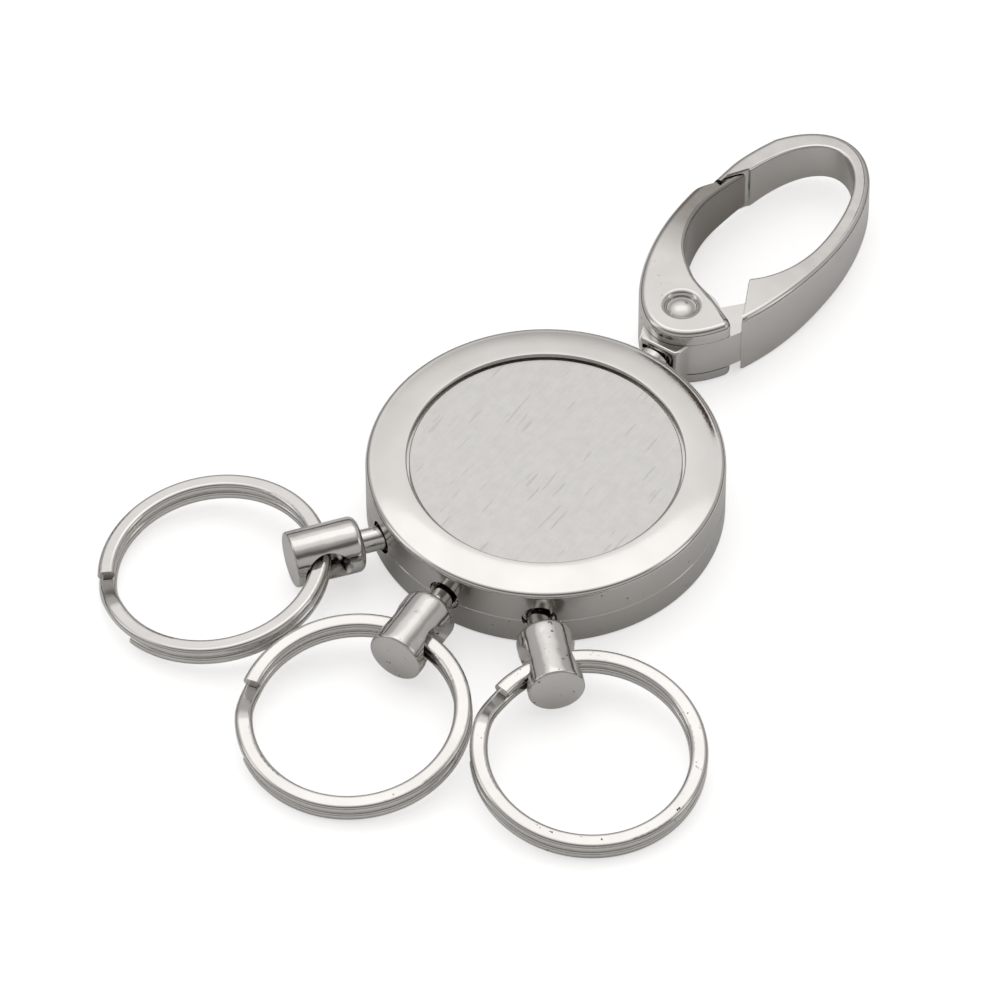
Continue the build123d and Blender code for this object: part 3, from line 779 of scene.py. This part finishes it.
# %% Hook gate
GATE_OUTER, GATE_INNER = 1.0, 0.6
TIP_OUTER = Vector((-6.73, 38.0, 0))
TIP_INNER = Vector((-5.04, 40.95, 0))
HEAD_CORNER = (4.155, 22.884)
HEAD_ROUND = 0.75
LEVER_SLOPE = 0.105
INNER_LINE = (
    (4.5, 23.55), (1.5, 25.1), (-1.6, 26.6), (-4.5, 29.9), (-5.85, 35.0), TIP_INNER[:2], (-4.2, 43.5),
)


def trim(thing, point, direction):
    """Cuts off what lies on the direction's side of a plane through the point, and closes the cut."""
    form = bmesh.new()
    form.from_mesh(thing.data)
    sliced = bmesh.ops.bisect_plane(
        form, geom=form.verts[:] + form.edges[:] + form.faces[:], dist=1e-7,
        plane_co=point * MM, plane_no=direction, clear_outer=True,
    )
    rim = [item for item in sliced["geom_cut"] if isinstance(item, bmesh.types.BMEdge)]
    bmesh.ops.edgeloop_fill(form, edges=rim)
    bmesh.ops.recalc_face_normals(form, faces=form.faces)
    form.to_mesh(thing.data)
    form.free()
    return thing


gate_outline = (
    weighted(ellipse_arc(LOOP_CENTRE, LOOP_WIDTH, LOOP_NOSE, 158, 180, 10)[:-1], GATE_OUTER)
    + weighted(ellipse_arc(LOOP_CENTRE, LOOP_WIDTH, LOOP_TAIL, 180, 308, 76), GATE_OUTER)
    + weighted(ellipse_arc(HEAD_CORNER, HEAD_ROUND, HEAD_ROUND, -30.4, 62.6, 10)[1:-1], GATE_OUTER)
    + weighted(flowing(INNER_LINE, 12), GATE_INNER)
    + [(*INNER_LINE[-1], 0)]
)
gate = slab("gate", gate_outline, 0, DISC_HEIGHT, 0.7, segments=7)
seam = TIP_INNER - TIP_OUTER
trim(gate, TIP_OUTER, Vector((-seam.y, seam.x, 0)))

# dished seats for the rivet's heads
SEAT = [
    (0, -0.55), (1.36, -0.55), (1.40, -0.42), (1.52, -0.24), (1.66, -0.11),
    (1.84, -0.03), (2.0, 0.0), (2.0, 0.3), (0, 0.3),
]
for face_z, up in ((DISC_HEIGHT, 1), (0, -1)):
    base = (HOOK_PIVOT[0], HOOK_PIVOT[1], face_z)
    cut(gate, turned("seat", SEAT, axis=(0, 0, up), base=base, steps=96))

# slot for the web, open at the side that the gate swings to
slot_outline = (
    weighted([(-5.5, 10), (12, 10), (12, 32), (1.9, 32.7)], 0)
    + weighted(ellipse_arc(HOOK_PIVOT, 4.3, 4.3, 78, 212, 30), 0)
)
cut(gate, slab("web_slot", slot_outline, WEB_BOTTOM - 0.05, WEB_TOP + 0.05, 0.01, segments=1))
taper(gate, LEVER_SLOPE)
smooth(gate, 38)
finish_piece(gate, "gate", "satin_hook", [lever_polish_painted_dark], "hook_gate")

# %% Gate rivet
HEAD_EDGE = 1.35
HEAD_LOW = 0.42
HEAD_RISE = 0.38
head_sphere = (HEAD_EDGE**2 + HEAD_RISE**2) / (2 * HEAD_RISE)
head_reach = degrees(asin(HEAD_EDGE / head_sphere))
head_centre = (0, DISC_HEIGHT - HEAD_LOW + HEAD_RISE - head_sphere)
top_dome = ellipse_arc(head_centre, head_sphere, head_sphere, 90 - head_reach, 90, 14)
low_dome = [(radius, DISC_HEIGHT - height) for radius, height in reversed(top_dome)]
shank = [(1.30, 0.5), (0.85, 0.56), (0.85, DISC_HEIGHT - 0.56), (1.30, DISC_HEIGHT - 0.5)]
rivet_profile = low_dome + shank + top_dome
rivet = turned("rivet", rivet_profile, base=(HOOK_PIVOT[0], HOOK_PIVOT[1], 0), steps=96)
smooth(rivet, 50)
finish_piece(rivet, "hook", "turned_pin", [hook_polish], "gate_rivet")

# %% [markdown]
# ## The ring holders
# Each holder is a turned pin: a thin neck and a fat barrel with a cross-hole. The hole is waisted, wide
# at both mouths, so that a split ring can tilt in it. The tool for it is a lathe part too: a curve that
# is narrow in the middle, spun round the hole's own axis and pressed a little flat.

# %% Swivel pins
BARREL_RADIUS = 2.58
BARREL_START = 1.95
BARREL_END = 8.55
HOLE_AT = 5.6
NECK_RADIUS = 1.12
THROAT = (1.45, 1.40)
MOUTH = (2.45, 1.95)
MOUTH_AT = 2.9
PIN_END = -8.35
PIN_STEP = -7.45
TAIL_RADIUS = 0.6
SHANK_RADIUS = 0.85
COLLAR_AT = -0.86
shoulder = ellipse_arc((BARREL_START + 0.7, BARREL_RADIUS - 0.7), 0.7, 0.7, 180, 90, 8)
end_edge = ellipse_arc((BARREL_END - 0.22, BARREL_RADIUS - 0.22), 0.22, 0.22, 90, 0, 5)
pin_profile = (
    [(0, PIN_END), (TAIL_RADIUS, PIN_END), (TAIL_RADIUS, PIN_STEP), (SHANK_RADIUS, PIN_STEP)]
    + [(SHANK_RADIUS, COLLAR_AT), (NECK_RADIUS, COLLAR_AT)]
    + [(NECK_RADIUS, BARREL_START - 0.12), (NECK_RADIUS + 0.12, BARREL_START)]
    + [(radius, along) for along, radius in shoulder]
    + [(BARREL_RADIUS, 3.0 + 0.45 * i) for i in range(12)]
    + [(radius, along) for along, radius in end_edge]
    + [(0, BARREL_END)]
)
for number in (1, 2, 3):
    swivel = joint(f"pin_swivel_{number}")
    outward = Vector(joint(f"sleeve_pull_{number}")["axis"]).normalized()
    across = Vector((0, 0, 1)).cross(outward)
    middle = Vector(swivel["pos_m"]) / MM
    rim_point = middle - outward * HOLE_AT
    pin = turned(f"ring_holder_{number}", pin_profile, axis=outward, across=across, base=rim_point, steps=120)
    waist = []
    for i in range(33):
        along = MOUTH_AT * 1.15 * (i / 16 - 1)
        waist.append((THROAT[0] + (MOUTH[0] - THROAT[0]) * (along / MOUTH_AT) ** 2, along))
    waist = [(0, waist[0][1])] + waist + [(0, waist[-1][1])]
    tool = turned("cross_hole", waist, axis=across, across=outward, base=middle, steps=96)
    flat = THROAT[1] / THROAT[0]
    for vert in tool.data.vertices:
        vert.co.z = middle.z * MM + (vert.co.z - middle.z * MM) * flat
    cut(pin, tool)
    smooth(pin, 40)
    finish_piece(pin, f"pin_{number}", "turned_pin", [pin_polish], f"swivel_pin_{number}")

# %% [markdown]
# ## Everything that keeps its design shape
# The rings, springs, sleeves and inner parts are right as they are, so they only get their finishes.

# %% Materials of the carried-over parts
CARRIED = {
    "swivel_post": hook_polish,
    "swivel_bush": bush_brass,
    "inner_core": core_moulded,
    "housing_screws": screw_zinc,
    "release_button": button_spun,
    "release_plate": button_spun,
    "button_spring": wire_steel,
    "gate_spring": wire_steel,
}
for number in (1, 2, 3):
    CARRIED[f"split_ring_{number}"] = ring_polish
    CARRIED[f"plug_sleeve_{number}"] = pin_polish
    CARRIED[f"pin_nose_{number}"] = pin_polish
    CARRIED[f"lock_spring_{number}"] = wire_steel
for name, material in CARRIED.items():
    mesh = frame["nodes"][name].data
    mesh.materials.clear()
    mesh.materials.append(material)
print(len(CARRIED), "parts keep their design shape")
